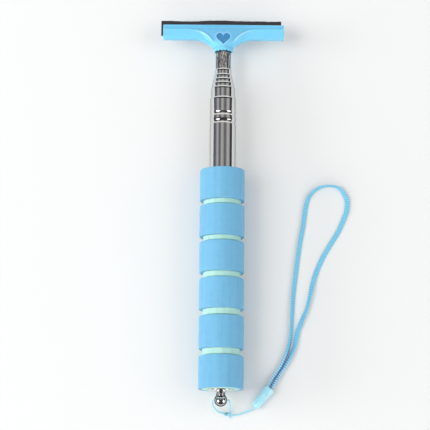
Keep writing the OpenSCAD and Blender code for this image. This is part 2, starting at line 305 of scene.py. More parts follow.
def chrome(name="chrome", blotched=False, edge=(0.72, 0.96), painted_edge_shade=0.30, rim_tint=0.6):
    """Chromed steel: fine drawing lines, faint handling haze, dark and pale blotches near the head if
    blotched, and painted shade where it is seen edge-on.
    """
    made, n = material(name)
    drawn = n.noise(n.place((5200, 45, 5200)), 1.0, 3.0)
    haze = n.noise(n.place(), 210.0, 4.0, 0.6)
    fleck = n.noise(n.place(), 3800.0, 1.0)
    base = n.mix(haze, (0.70, 0.70, 0.71), (0.80, 0.79, 0.77))
    roughness = n.math("ADD", 0.035, n.math("MULTIPLY", n.math("POWER", haze, 2.0), 0.12))
    roughness = n.math("ADD", roughness, n.math("MULTIPLY", drawn, 0.03))
    normal = n.bump(fleck, 0.05, 0.00001, n.bump(drawn, 0.10, 0.00001))
    if blotched:
        # Dark and pale blotches on the metal, strongest near the head
        blotch = n.noise(n.place((1700, 380, 1700)), 1.0, 4.0, 0.7)
        blotches = n.mix(n.ramp(blotch, [(0.44, 0.0), (0.66, 1.0)]), (0.14, 0.14, 0.14), (0.86, 0.85, 0.82))
        y = n.add("ShaderNodeSeparateXYZ", {0: n.place()}).outputs["Y"]
        near_head = n.add("ShaderNodeMapRange", {
            "Value": y, "From Min": (MOUTH_Y - 50) * MM, "From Max": (MOUTH_Y - 15) * MM,
            "To Min": 0.12}).outputs[0]
        base = n.mix(near_head, base, blotches)
    # Painted shade: the plating is darkened where it is seen edge-on
    turned = n.add("ShaderNodeLayerWeight", {"Blend": 0.5}).outputs["Facing"]
    base = n.mix(n.ramp(turned, [(edge[0], 0.0), (edge[1], 1.0)]), base,
                 (painted_edge_shade, painted_edge_shade, painted_edge_shade * 0.95))
    n.finish(Base_Color=base, Metallic=1.0, Roughness=roughness, Normal=normal,
             Specular_Tint=(rim_tint, rim_tint, rim_tint, 1))
    return made


def bronze():
    """Spring-bronze strip with rolling marks and a dull film."""
    made, n = material("sleeve_bronze")
    film = n.noise(n.place(), 600.0, 4.0)
    rolled = n.noise(n.place((300, 9000, 300)), 1.0, 2.0)
    base = n.mix(film, srgb(176, 128, 62), srgb(212, 170, 96))
    n.finish(Base_Color=base, Metallic=1.0, Roughness=n.math("ADD", 0.24, n.math("MULTIPLY", film, 0.2)),
             Normal=n.bump(rolled, 0.2, 0.00001))
    return made


def foam(name, colour, shade_to):
    """Closed-cell EVA foam: matte, finely pored, slightly mottled, with paler lengthwise streaks of painted
    sheen.
    """
    made, n = material(name)
    at = n.place()
    mottle = n.noise(at, 260.0, 5.0, 0.62)
    grain = n.noise(at, 3600.0, 3.0, 0.6)
    pores = n.add("ShaderNodeTexVoronoi", {"Vector": at, "Scale": 3300.0}).outputs["Distance"]
    base = n.mix(n.ramp(mottle, [(0.2, 0.0), (0.8, 1.0)]), shade_to, colour)
    # Painted sheen: paler lengthwise streaks on the foam
    sheen_streak = n.noise(n.place((420, 14, 420)), 1.0, 3.0)
    base = n.mix(n.math("MULTIPLY", n.ramp(sheen_streak, [(0.35, 0.0), (0.65, 1.0)]), 0.45), base,
                 scaled(colour, 1.12))
    base = n.mix(n.math("MULTIPLY", n.ramp(grain, [(0.42, 1.0), (0.6, 0.0)]), 0.14), base,
                 scaled(colour, 0.72))
    cell = n.math("MINIMUM", pores, 0.45)
    normal = n.bump(cell, 0.35, 0.00012, n.bump(grain, 0.30, 0.00008))
    n.finish(Base_Color=base, Roughness=0.88, Normal=normal, Sheen_Weight=0.12, Sheen_Roughness=0.5,
             Specular_IOR_Level=0.25, Subsurface_Weight=0.06, Subsurface_Scale=0.001)
    return made


def rubber():
    """Black blade rubber, with faint extrusion lines and bloom."""
    made, n = material("blade_rubber")
    lines = n.noise(n.place((30, 5200, 5200)), 1.0, 2.0)
    bloom = n.noise(n.place(), 320.0, 4.0, 0.6)
    base = n.mix(bloom, srgb(38, 34, 38), srgb(62, 57, 62))
    n.finish(Base_Color=base, Roughness=n.math("ADD", 0.5, n.math("MULTIPLY", bloom, 0.2)),
             Normal=n.bump(lines, 0.25, 0.00003))
    return made


def nylon(name, colour, deep, inner=0.1):
    """Nylon filament, with fine fibres and a soft sheen."""
    made, n = material(name)
    fibres = n.noise(n.place((900, 900, 900)), 9.0, 4.0, 0.65)
    patch = n.noise(n.place(), 180.0, 3.0)
    base = n.mix(n.math("MULTIPLY", n.ramp(fibres, [(0.35, 1.0), (0.65, 0.0)]), 0.55), colour, deep)
    base = n.mix(n.math("MULTIPLY", patch, 0.25), base, scaled(colour, 1.12))
    n.finish(Base_Color=base, Roughness=0.58, Normal=n.bump(fibres, 0.4, 0.00004), Sheen_Weight=0.2,
             Sheen_Roughness=0.4, Subsurface_Weight=inner, Subsurface_Scale=0.0006,
             Subsurface_Radius=(0.4, 0.8, 1.0))
    return made


def woven(name, colour, deep):
    """Flat braid: painted highlights on the crowns and painted shade in the furrows, both stronger near the
    barrel, and painted shade where the strands lie together.
    """
    made, n = material(name)
    fibres = n.noise(n.place((1500, 1500, 1500)), 4.0, 3.0, 0.6)
    patch = n.noise(n.place(), 150.0, 2.0)
    seam = n.attribute("seam")
    # Painted shade in the furrows and painted highlights on the crowns, from the ribs
    tone = n.math("ADD", n.attribute("rib"), n.math("MULTIPLY", n.math("SUBTRACT", fibres, 0.5), 0.35))
    crown = n.mix(n.math("MULTIPLY", n.attribute("taut"), 0.8), colour, srgb(196, 236, 250))
    base = n.mix(n.ramp(tone, [(0.20, 0.0), (0.74, 1.0)]), deep, crown)
    base = n.mix(n.math("MULTIPLY", patch, 0.20), base, scaled(colour, 1.15))
    # Painted shade where the two strands lie together
    base = n.mix(n.math("MULTIPLY", seam, 0.95), base, srgb(2, 78, 156))
    open_face = n.math("SUBTRACT", 1.0, seam)
    n.finish(Base_Color=base, Roughness=0.55, Normal=n.bump(fibres, 0.4, 0.00004),
             Specular_IOR_Level=n.math("MULTIPLY", open_face, 0.5),
             Sheen_Weight=n.math("MULTIPLY", open_face, 0.2), Sheen_Roughness=0.4, Subsurface_Weight=0.1,
             Subsurface_Scale=0.0006, Subsurface_Radius=(0.4, 0.8, 1.0))
    return made


def clear_barrel():
    """Milky translucent plastic with faint lengthwise ridges, painted paler as highlights."""
    made, n = material("barrel_plastic")
    lengthwise = n.add("ShaderNodeMapping", {
        "Vector": n.add("ShaderNodeTexCoord").outputs["Object"],
        "Rotation": (0, 0, math.radians(BARREL_TURN)), "Scale": (0.009, 0.0007, 0.0007)},
        vector_type="TEXTURE").outputs[0]
    milk = n.noise(n.place(), 500.0, 3.0)
    highlight_streaks = n.noise(lengthwise, 1.0, 2.0)
    # Painted highlight: the lengthwise streaks are paler
    base = n.mix(n.ramp(highlight_streaks, [(0.38, 0.0), (0.62, 1.0)]), srgb(164, 229, 254), srgb(202, 245, 255))
    base = n.mix(n.math("MULTIPLY", milk, 0.3), base, srgb(180, 238, 255))
    n.finish(Base_Color=base, Roughness=0.18, Normal=n.bump(highlight_streaks, 0.1, 0.00002), Coat_Weight=0.5,
             Coat_Roughness=0.12, Transmission_Weight=0.08, Subsurface_Weight=0.35,
             Subsurface_Scale=0.0016, Subsurface_Radius=(0.6, 0.9, 1.0), IOR=1.45)
    return made


HEAD_BLUE = srgb(122, 205, 240)
FOAM_BLUE = srgb(117, 179, 214)
FOAM_MINT = srgb(192, 231, 219)
mat_head = moulded_plastic("head_plastic", HEAD_BLUE)
# Painted shade: the heart's sunk floor is coloured a darker blue, for the shade in the recess
mat_heart = moulded_plastic("head_heart", srgb(68, 146, 194), rough=0.45, inner=0.02)
mat_chrome = chrome()
mat_blotched = chrome("chrome_blotched", blotched=True)
# Painted shade: the ball's chrome turns almost black where it is seen at a slant, the cap's only a little
# darker
mat_turned = chrome("chrome_turned", edge=(0.26, 0.60), painted_edge_shade=0.02, rim_tint=0.1)
mat_cap = chrome("chrome_cap", painted_edge_shade=0.8, rim_tint=1.0)
mat_bronze = bronze()
mat_blue = foam("foam_blue", FOAM_BLUE, srgb(106, 169, 205))
mat_mint = foam("foam_green", FOAM_MINT, srgb(172, 220, 208))
mat_rubber = rubber()
mat_string = nylon("string_nylon", srgb(158, 226, 242), srgb(112, 194, 218), inner=0.2)
# Painted shade: the knot is the string's own nylon, coloured darker for the shade among its turns
mat_knot = nylon("knot_nylon", srgb(112, 192, 216), srgb(66, 144, 176))
mat_strap = woven("strap_weave", srgb(122, 203, 232), srgb(16, 104, 168))
mat_barrel = clear_barrel()


# ---------------------------------------------------------------- camera, floor and light
def make_camera():
    """Looks almost straight down at the table, from over the rear end of the rod."""
    tilt, roll = math.radians(11.4), math.radians(0.47)
    distance, focal_length = 1.2051, 163.3
    aim = Vector((-0.00436, -0.00024, 0))
    right = Vector((math.cos(roll), math.sin(roll), 0))
    back = Vector((math.sin(roll) * math.sin(tilt), -math.cos(roll) * math.sin(tilt), math.cos(tilt)))
    up = back.cross(right)
    data = bpy.data.cameras.new("camera")
    data.sensor_width = 36
    data.lens = focal_length
    data.clip_start, data.clip_end = 0.05, 20
    camera = bpy.data.objects.new("camera", data)
    bpy.context.scene.collection.objects.link(camera)
    at = aim + back * distance
    camera.matrix_world = Matrix([[right[i], up[i], back[i], at[i]] for i in range(3)] + [[0, 0, 0, 1]])
    bpy.context.scene.camera = camera


def make_floor():
    """A plain white table, a hair below the grip."""
    size, steps, gap = 3, 24, 0.02
    grid = np.linspace(-size, size, steps + 1)
    points = [(x / MM, y / MM, -gap) for y in grid for x in grid]
    row = steps + 1
    faces = [(i * row + j, i * row + j + 1, (i + 1) * row + j + 1, (i + 1) * row + j)
             for i in range(steps) for j in range(steps)]
    floor = new_mesh("floor", points, faces)
    made, n = material("floor_white")
    grain = n.noise(n.place(), 900.0, 2.0)
    base = n.mix(n.noise(n.place(), 3.0, 2.0), (0.79, 0.797, 0.793), (0.81, 0.816, 0.811))
    n.finish(Base_Color=base, Roughness=0.6, Normal=n.bump(grain, 0.03, 0.00005), Specular_IOR_Level=0.3)
    floor.data.materials.append(made)


def area_light(name, at, size, power, glossy=True, diffuse=True):
    """A soft light that faces the origin, seen only in reflections or only in shading if told so."""
    data = bpy.data.lights.new(name, "AREA")
    data.shape = "RECTANGLE"
    data.size, data.size_y = size
    data.energy = power
    light = bpy.data.objects.new(name, data)
    bpy.context.scene.collection.objects.link(light)
    light.location = at
    light.rotation_euler = (-Vector(at)).to_track_quat("-Z", "Y").to_euler()
    light.visible_glossy = glossy
    light.visible_diffuse = diffuse


def make_lights():
    """Far soft lights from both sides, two small ones for the highlights, and the room."""
    area_light("key", (-1.52, -0.12, 1.80), (1.4, 1.4), 21.0, glossy=False)
    area_light("low_left", (-2.40, 0.00, 0.76), (1.2, 0.6), 27.0, glossy=False)
    area_light("side", (1.90, 0.00, 1.60), (1.6, 1.6), 13.6, glossy=False)
    area_light("front_left", (-0.58, -0.41, 0.54), (0.46, 0.46), 1.9, diffuse=False)
    area_light("front_right", (0.67, -0.41, 0.42), (0.46, 0.46), 1.7, diffuse=False)
    # The room: lengthwise bands of softbox and dark gap over the rod, bright beyond the head
    world = bpy.data.worlds.new("studio")
    bpy.context.scene.world = world
    world.use_nodes = True
    n = Nodes(world.node_tree)
    split = n.add("ShaderNodeSeparateXYZ", {0: n.add("ShaderNodeTexCoord").outputs["Generated"]})
    x, y, z = split.outputs
    across = n.math("ARCTAN2", x, n.math("MAXIMUM", z, 0.001))
    across = n.math("ADD", 0.5, n.math("DIVIDE", across, math.pi))
    tones = [(-90, 0.10), (-76, 0.16), (-64, 0.18), (-53, 0.48), (-43, 0.50), (-33, 0.20), (-24, 0.13),
             (-13, 0.44), (-4, 0.50), (8, 0.32), (19, 0.12), (30, 0.24), (42, 0.52), (57, 0.48),
             (68, 0.12), (80, 0.02), (90, 0.02)]
    bands = n.ramp(across, [(0.5 + degrees / 180, tone) for degrees, tone in tones])
    tint = n.ramp(across, [(0.15, (0.90, 0.92, 1.0)), (0.42, (0.94, 0.95, 1.0)), (0.52, (1.0, 0.98, 0.90)),
                           (0.60, (1.0, 0.98, 0.92)), (0.72, (0.95, 0.95, 1.0))])
    bands = n.add("ShaderNodeMix", {0: 1.0, 6: bands, 7: tint}, data_type="RGBA",
                  blend_type="MULTIPLY").outputs[2]
    room = n.mix(n.step(y, 0.46, 0.78), bands, (0.98, 0.97, 0.92))  # beyond the head
    room = n.mix(n.step(y, 0.14, 0.0), room, (0.05, 0.05, 0.055))  # overhead
    room = n.mix(n.step(y, -0.45, -0.8), room, (0.05, 0.05, 0.05))  # behind the grip
    path = n.add("ShaderNodeLightPath")
    dome = n.mix(n.step(y, -0.60, -0.90), (0.60, 0.605, 0.61), (1.9, 1.9, 1.9))
    soft = n.mix(path.outputs["Is Glossy Ray"], dome, room)
    colour = n.mix(path.outputs["Is Camera Ray"], soft, (0.92, 0.925, 0.925))
    back = n.add("ShaderNodeBackground", {"Color": colour, "Strength": 1.0})
    out = n.add("ShaderNodeOutputWorld")
    world.node_tree.links.new(back.outputs[0], out.inputs[0])
    bpy.context.scene.view_settings.view_transform = "Standard"


# ---------------------------------------------------------------- cords
STRING_PATH = [
    (5.7, -125.8, 0.5), (5.6, -124.6, 0.5), (5.6, -123.4, 0.5), (5.8, -121.6, 0.7), (5.9, -119.8, 2.4),
    (5.7, -118, 5.8), (5.4, -116.8, 9.4), (5, -116.1, 12.3), (4.3, -116.05, 13.45), (3.3, -116.05, 13.65),
    (0, -116.05, 13.7), (-3.2, -116.05, 13.7), (-4.35, -116.1, 13.5), (-5, -116.6, 12.5), (-5, -117.5, 11.1),
    (-4.6, -118.7, 8.8), (-3.7, -120, 5.2), (-2.4, -121.2, 2.2), (-0.7, -122.2, 0.8), (1.6, -122.9, 0.6),
    (3.8, -123.4, 0.9), (5.9, -123.6, 1.5), (8, -123.75, 0.8), (10.2, -123.6, 0.5), (12.4, -123, 0.5),
    (14.6, -122.2, 0.5), (17, -121.3, 0.8), (19.1, -120.2, 1.5), (20.8, -118.6, 2.2), (22.2, -116.9, 2.5),
    (23, -115.9, 2.5)]
KNOT_AT = (3.3, -123.2, 1.15)
# X, Y, how far it is lifted off the table, and its roll (0 flat, 90 on edge)
STRAP_PATH = [
    (26.2, -110.6, 1.5, 52), (27.85, -108.6, 1.6, 54), (29.3, -106.35, 1.35, 55), (30.85, -102.7, 0.6, 50),
    (33.5, -98.5, 0.1, 50), (36.25, -94.1, 0, 48), (38.4, -89.7, 0, 46), (40.15, -85.4, 0, 48),
    (41.4, -81.1, 0, 50), (42.35, -76.8, 0, 52), (42.95, -70, 0, 52), (43.35, -62, 0, 46),
    (43.75, -54, 0, 38), (44.35, -46, 0, 26), (45.5, -37, 0, 26), (46.7, -27, 0, 26), (48.2, -17, 0, 26),
    (49.95, -7.5, 0, 24), (51.05, 1, 0, 20), (52.4, 8, 0, 28), (54.9, 12.9, 0, 50), (59.5, 16.8, 0, 64),
    (65.4, 18.5, 0, 84), (71, 17.6, 0, 75), (74.7, 14.2, 0, 45), (77.1, 9.2, 0, 20), (76.85, 3, 0, 12),
    (74.75, -3.2, 0, 6), (71.8, -10.2, 0, 0), (67.2, -17.8, 0, 0), (62.6, -25.8, 0, 0), (58.8, -34, 0, 4),
    (56.15, -42, 0, 20), (54.2, -50.5, 0, 46), (53.1, -55, 0, 50), (51.8, -59.5, 0, 48),
    (50, -63.8, 0, 38), (48.3, -68.1, 0, 28), (46.6, -72.5, 0, 22), (45.7, -76.8, 0, 30),
    (44.9, -81.1, 0, 42), (43.3, -85.4, 0, 48), (41.4, -89.7, 0, 48), (39, -94.1, 0, 48),
    (36.2, -98.5, 0.1, 50), (33.5, -102.7, 0.6, 50), (31, -106.8, 1.35, 55), (29.4, -109.4, 1.6, 54),
    (27.8, -111.6, 1.5, 52)]
STRING_D, STRING_LAY = 0.9, 2.2
STRAP_W, STRAP_T, RIB_PITCH = 2.9, 0.9, 1.5
BARREL_R1, BARREL_R2 = 2.35, 3.25


def smooth_route(points, spacing):
    """A Catmull-Rom curve through the points, sampled at an even spacing."""
    p = np.array(points, float)
    p = np.vstack([2 * p[0] - p[1], p, 2 * p[-1] - p[-2]])
    dense = []
    for i in range(1, len(p) - 2):
        t = np.linspace(0, 1, 40, endpoint=False)[:, None]
        a, b, c, d = p[i - 1], p[i], p[i + 1], p[i + 2]
        dense.append(0.5 * (2 * b + (c - a) * t + (2 * a - 5 * b + 4 * c - d) * t ** 2
                            + (3 * b - a - 3 * c + d) * t ** 3))
    dense = np.vstack(dense + [p[-2:-1]])
    along = np.concatenate([[0], np.cumsum(np.linalg.norm(np.diff(dense[:, :3], axis=0), axis=1))])
    at = np.linspace(0, along[-1], int(round(along[-1] / spacing)) + 1)
    return np.stack([np.interp(at, along, dense[:, k]) for k in range(p.shape[1])], -1), at


def carried_frames(centres, up):
    """The route's direction, side and up at each centre, with up carried along without twist."""
    t = np.gradient(centres, axis=0)
    t /= np.linalg.norm(t, axis=1)[:, None]
    ups = []
    u = np.array(up, float)
    for d in t:
        u = u - d * (u @ d)
        u /= np.linalg.norm(u)
        ups.append(u)
    ups = np.array(ups)
    return t, np.cross(ups, t), ups


def swept(name, centres, sides, ups, section):
    """Sweeps a section, (along side, along up) for every ring, into a closed tube."""
    rows = (centres[:, None, :] + section[:, :, :1] * sides[:, None, :] + section[:, :, 1:] * ups[:, None, :])
    return new_mesh(name, rows.reshape(-1, 3), tube_faces(len(centres), section.shape[1]), 60)


def twisted_string(name, centres, along, up=(0, 0, 1), radius=STRING_D / 2):
    """Three strands twisted together."""
    _, sides, ups = carried_frames(centres, up)
    a = np.arange(12) * math.pi / 6
    twist = 2 * math.pi * along[:, None] / (3 * STRING_LAY)
    r = radius * (0.92 + 0.085 * np.cos(3 * (a[None, :] - twist)))
    end = np.clip(np.minimum(along, along[-1] - along) / 0.3, 0, 1)[:, None]
    r = r * (0.55 + 0.45 * np.sqrt(1 - (1 - end) ** 2))
    return swept(name, centres, sides, ups, np.stack([r * np.cos(a), r * np.sin(a)], -1))


def make_string():
    """The string from its tail, up through the ball and along to the barrel, with its knot."""
    centres, along = smooth_route(STRING_PATH, 0.12)
    string = twisted_string("lanyard_string_cord", centres, along)
    finished(string, mat_string, "handle", "string_nylon", "lanyard_string")
    # The knot: the tail's two turns round both strands
    t = np.linspace(0, 1, 90)
    turns, knot_len, coil, phase = 2.1, 1.7, 0.63, 0.6
    turn = 2 * math.pi * turns * t
    wrap = np.stack([KNOT_AT[0] - knot_len / 2 + knot_len * t + 0.12 * np.sin(turn * 1.5),
                     KNOT_AT[1] + coil * np.cos(turn + phase), KNOT_AT[2] + coil * np.sin(turn + phase)], -1)
    length = np.concatenate([[0], np.cumsum(np.linalg.norm(np.diff(wrap, axis=0), axis=1))])
    knot = twisted_string("lanyard_knot", wrap, length, up=(1, 0, 0), radius=0.44)
    finished(knot, mat_knot, "handle", "string_nylon", "string_knot")
    return string, knot, centres, along


def make_strap():
    """A flat woven band: chevron ribs on both faces, round selvedges."""
    route, along = smooth_route(STRAP_PATH, 0.11)
    roll = np.radians(route[:, 3])
    w, t = STRAP_W / 2, STRAP_T / 2
    centres = route[:, :3].copy()
    centres[:, 2] += w * np.abs(np.sin(roll)) + t * np.abs(np.cos(roll)) + 0.05
    _, side, up = carried_frames(centres, (0, 0, 1))
    c, s = np.cos(roll)[:, None], np.sin(roll)[:, None]
    across, over = c * side + s * up, c * up - s * side
    # The section, from one edge over the top face to the other edge and back below
    half = [(-1.0, 0.0), (-0.97, 0.42), (-0.88, 0.75), (-0.72, 0.94), (-0.5, 1.0), (-0.26, 0.97),
            (-0.06, 0.80)]
    face = half + [(-a, b) for a, b in reversed(half)]
    loop = np.array(face + [(-a, -b) for a, b in face[1:-1]])
    phase = 2 * math.pi * (along[:, None] / RIB_PITCH - 0.16 * np.abs(loop[None, :, 0]))
    rib = (0.5 + 0.5 * np.cos(phase)) ** 0.8
    inner = np.clip(np.abs(loop[:, 1]), 0, 1)[None, :]
    thick = t * loop[None, :, 1] * (0.72 + 0.28 * rib * inner)
    wide = w * loop[None, :, 0] * (0.93 + 0.07 * rib)
    from_end = np.minimum(along, along[-1] - along)[:, None]
    end = np.clip(from_end / 0.4, 0, 1)
    close = 0.6 + 0.4 * np.sqrt(1 - (1 - end) ** 2)
    strap = swept("wrist_strap_band", centres, across, over, np.stack([wide, thick * close], -1))
    # Near the barrel: painted shade where the two strands lie against each other, and the ribs' painted shade
    # and highlights made stronger
    taut = smooth(34, 16, from_end) + 0 * rib
    seam = smooth(42, 28, from_end) * smooth(-0.05, -0.8, loop[None, :, 0])
    add_tone(strap.data, "rib", 1 - (0.5 + 0.2 * taut) * (1 - rib))
    add_tone(strap.data, "taut", taut)
    add_tone(strap.data, "seam", seam)
    finished(strap, mat_strap, "handle", "strap_weave", "wrist_strap")
    return strap, centres, along


def make_barrel():
    """The tapered bead: narrow end on the string, wide end on the strap."""
    tilt = math.atan((BARREL_R2 - BARREL_R1) / BARREL_LEN)
    turn = math.radians(BARREL_TURN)
    narrow_bore, wide_bore, pocket = 0.7, 2.5, 6
    outline = filleted([
        (narrow_bore, 0, 0.15), (1.85, 0, 0.7), (2.45, 1.3, 1.1), (BARREL_R1 + 0.5, 7.0, 3.0),
        (BARREL_R2, BARREL_LEN, 0.22), (wide_bore, BARREL_LEN, 0.22), (wide_bore, BARREL_LEN - pocket, 0.3),
        (narrow_bore, BARREL_LEN - pocket, 0.1)], 5)
    steps = 72
    axis = Vector((math.cos(tilt) * math.cos(turn), math.cos(tilt) * math.sin(turn), math.sin(tilt)))
    side = Vector((math.sin(turn), -math.cos(turn), 0))
    up = side.cross(axis)
    up = up if up.z > 0 else -up
    start = Vector((BARREL_AT[0], BARREL_AT[1], BARREL_R1 * math.cos(tilt)))
    points = []
    for i in range(steps):
        a = 2 * math.pi * i / steps
        for r, d in outline:
            flute = 1 - 0.022 * (0.5 + 0.5 * math.cos(10 * a)) * min(1, max(0, (r - 1.5)))
            points.append(start + axis * d + (side * math.cos(a) + up * math.sin(a)) * r * flute)
    barrel = new_mesh("cord_barrel_bead", [tuple(p) for p in points], wheel_faces(steps, len(outline)), 40)
    finished(barrel, mat_barrel, "handle", "barrel_plastic", "cord_barrel")
    return barrel, start + axis * BARREL_LEN


def make_cords():
    """The lanyard: the string out of the ball, the barrel on it, and the strap's loop."""
    barrel, mouth = make_barrel()
    string, knot, centres, along = make_string()
    strap, centres, along = make_strap()


# ---------------------------------------------------------------- rod
ROD_R = (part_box("tube_7")[1].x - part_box("tube_7")[0].x) / 2 / MM
TUBE_STEP, WALL, BEAD, SEAT = 0.56, 0.35, 0.13, 21
NECK, NECK_IN = 8, 0.17  # how long the drawn-in end is, and how far it is drawn in
SPIGOT_R, SPIGOT_LEN = 3.2, 5.8
GROOVES, GROOVE_DEEP, GROOVE_HALF = (164.35, 169.5), 0.36, 1.2


def mouth_lip(r, h):
    """A tube's rolled mouth: a slight swelling, then a bevel down to the bore."""
    inside = r - WALL
    return [(r, h - 2.6), (r - 0.03, h - 2.1), (r - 0.01, h - 1.6), (r + 0.05, h - 1.2), (r + 0.10, h - 0.94),
            (r + 0.11, h - 0.82), (r + 0.08, h - 0.70), (r, h - 0.56), (r - 0.16, h - 0.26),
            (inside + 0.09, h - 0.06), (inside + 0.03, h), (inside, h - 0.03)]


def base_beads(r):
    """The turned-in base's outside and the two beads that hold the friction sleeve."""
    top, side = r + BEAD, r + BEAD * 0.7
    return [(r + BEAD * 0.55, 0), (top, 0.1), (top, 0.42), (side, 0.56), (r, 0.72), (r, SEAT - 0.05),
            (side, SEAT + 0.14), (top, SEAT + 0.28), (top, SEAT + 0.62), (side, SEAT + 0.76),
            (r, SEAT + 0.95)]


def drawn_end(r, h):
    """A tube's drawn-in end: the shoulder, the lip, and the inside back to the full bore."""
    neck = r - NECK_IN
    shoulder = [(r, h - NECK - 1.15), (r - 0.03, h - NECK - 0.9), (neck + 0.03, h - NECK - 0.15),
                (neck, h - NECK + 0.1)]
    return shoulder + mouth_lip(neck, h) + [(neck - WALL, h - NECK), (r - WALL, h - NECK - 1)]


def groove(centre, before, after):
    """A rolled groove with rounded shoulders, which may stand a little lower on one side."""
    u = np.linspace(-1, 1, 25)
    dip = np.cos(u * math.pi / 2)
    level = before + (after - before) * (u + 1) / 2
    return [(ROD_R - lv - (GROOVE_DEEP - lv) * d, centre + GROOVE_HALF * x)
            for x, d, lv in zip(u, dip, level)]


def along_rod(node):
    """Where a node starts along the rod, and its length, in mm."""
    low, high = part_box(node)
    return low.y / MM, (high.y - low.y) / MM


def make_tubes():
    """The seven tubes, and the finish of the sleeves between them."""
    for k in range(2, 7):
        y0, h = along_rod(f"tube_{k}")
        r = ROD_R - (7 - k) * TUBE_STEP
        outline = base_beads(r) + drawn_end(r, h) + [
            (r - WALL, WALL + 0.2), (r - WALL - 0.2, WALL), (r - 0.9, WALL), (r - 0.9, 0)]
        tube = lathe(f"rod_tube_{k}", outline, y0, 144, 24)
        finished(tube, mat_chrome, f"stage_{k}", "rod_chrome", f"tube_{k}")
    # The smallest tube, with the spigot that holds the head
    y0, h = along_rod("tube_1")
    r = ROD_R - 6 * TUBE_STEP
    step = h - SPIGOT_LEN
    outline = base_beads(r) + [
        (r, step - 0.5), (r - 0.15, step - 0.15), (r - 0.5, step), (SPIGOT_R, step), (SPIGOT_R, h - 0.1),
        (SPIGOT_R - 0.1, h), (SPIGOT_R - WALL, h), (SPIGOT_R - WALL, step - WALL),
        (r - WALL - 0.4, step - WALL), (r - WALL, step - WALL - 0.4), (r - WALL, WALL), (r - 0.9, WALL),
        (r - 0.9, 0)]
    finished(lathe("rod_tube_1", outline, y0, 128, 24), mat_blotched, "head_stage", "rod_chrome", "tube_1")
    # The largest tube, with two rolled grooves that are raised inside
    y0, h = along_rod("tube_7")
    neck = ROD_R - NECK_IN
    outside = [(ROD_R, 0)] + groove(GROOVES[0], 0, 0.03) + groove(GROOVES[1], 0.03, 0)
    outline = outside + drawn_end(ROD_R, h) + [
        (ROD_R - WALL, 170.8), (neck - WALL, 170), (neck - WALL, 163.9), (ROD_R - WALL, 163.2),
        (ROD_R - WALL, 0)]
    finished(lathe("rod_tube_7", outline, y0, 160, 24), mat_chrome, "handle", "rod_chrome", "tube_7")
    for k in range(1, 7):
        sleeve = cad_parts[f"sleeve_{k}"]
        sleeve.data.materials.clear()
        sleeve.data.materials.append(mat_bronze)


def make_cap_and_ball():
    """The end cap with its plug, and the drilled ball with its stem."""
    inner = ROD_R - WALL - 0.02
    outline = filleted([
        (0.02, 5.1, 0), (inner - 0.05, 5.1, 0.5), (inner, 0, 0), (ROD_R, 0, 0.04), (ROD_R, -0.8, 0.42),
        (3.85, -0.8, 0.25), (3.75, -1.5, 0.18), (3.3, -1.62, 0.1), (3.3, -2.3, 0.2), (1.52, -2.3, 0.05),
        (1.52, 3.5, 0), (0.02, 3.5, 0)])
    finished(lathe("end_cap_plug", outline, GRIP_Y, 128, 28), mat_cap, "handle", "rod_chrome", "end_cap")
    low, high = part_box("ball_finial")
    radius = (high.x - low.x) / 2 / MM
    centre = low.y / MM + radius
    neck = 2.7
    ball = arc((0, 0), radius, -90, math.degrees(math.acos(neck / radius)), 55)
    ball[0] = (0.02, -radius)
    tail = filleted([(neck - 0.12, 3.15, 0.2), (neck, 3.4, 0.1), (neck, 4.05, 0.15), (1.5, 4.05, 0),
                     (1.5, 8.85, 0.2), (0.02, 8.85, 0)])
    finial = lathe("ball_finial_turned", ball[:-1] + tail, centre, 112, 28)
    # The hole across it, with a broken edge
    bore, mouth = 0.8, 1.35
    half = [(0, -radius - 1, 0), (mouth, -radius - 1, 0), (mouth, -radius + 0.02, 0),
            (bore, -radius + 0.5, 0.3)]
    hole = filleted(half + [(r, -d, fillet) for r, d, fillet in reversed(half)])
    steps = 40
    around = [2 * math.pi * i / steps for i in range(steps)]
    points = [(d, centre + r * math.cos(a), AXIS_Z + r * math.sin(a)) for r, d in hole for a in around]
    boolean(finial, new_mesh("hole", points, ring_faces(len(hole), steps)), "DIFFERENCE")
    shade(finial, 28)
    finished(finial, mat_turned, "handle", "rod_chrome", "ball_finial")


# ---------------------------------------------------------------- grip
def foam_wobble(seed, amount=0.035, edge=0.05):
    """Small unevenness of cut foam, the same on every run."""
    def change(r, y, a):
        wave = np.sin(3 * a + seed) * np.sin(y * 0.31 + seed * 2) + 0.6 * np.sin(5 * a - y * 0.57 + seed * 3)
        shift = np.sin(2 * a + seed * 1.7) + 0.5 * np.sin(5 * a + seed)
        return r + amount * wave, y + edge * shift
    return change


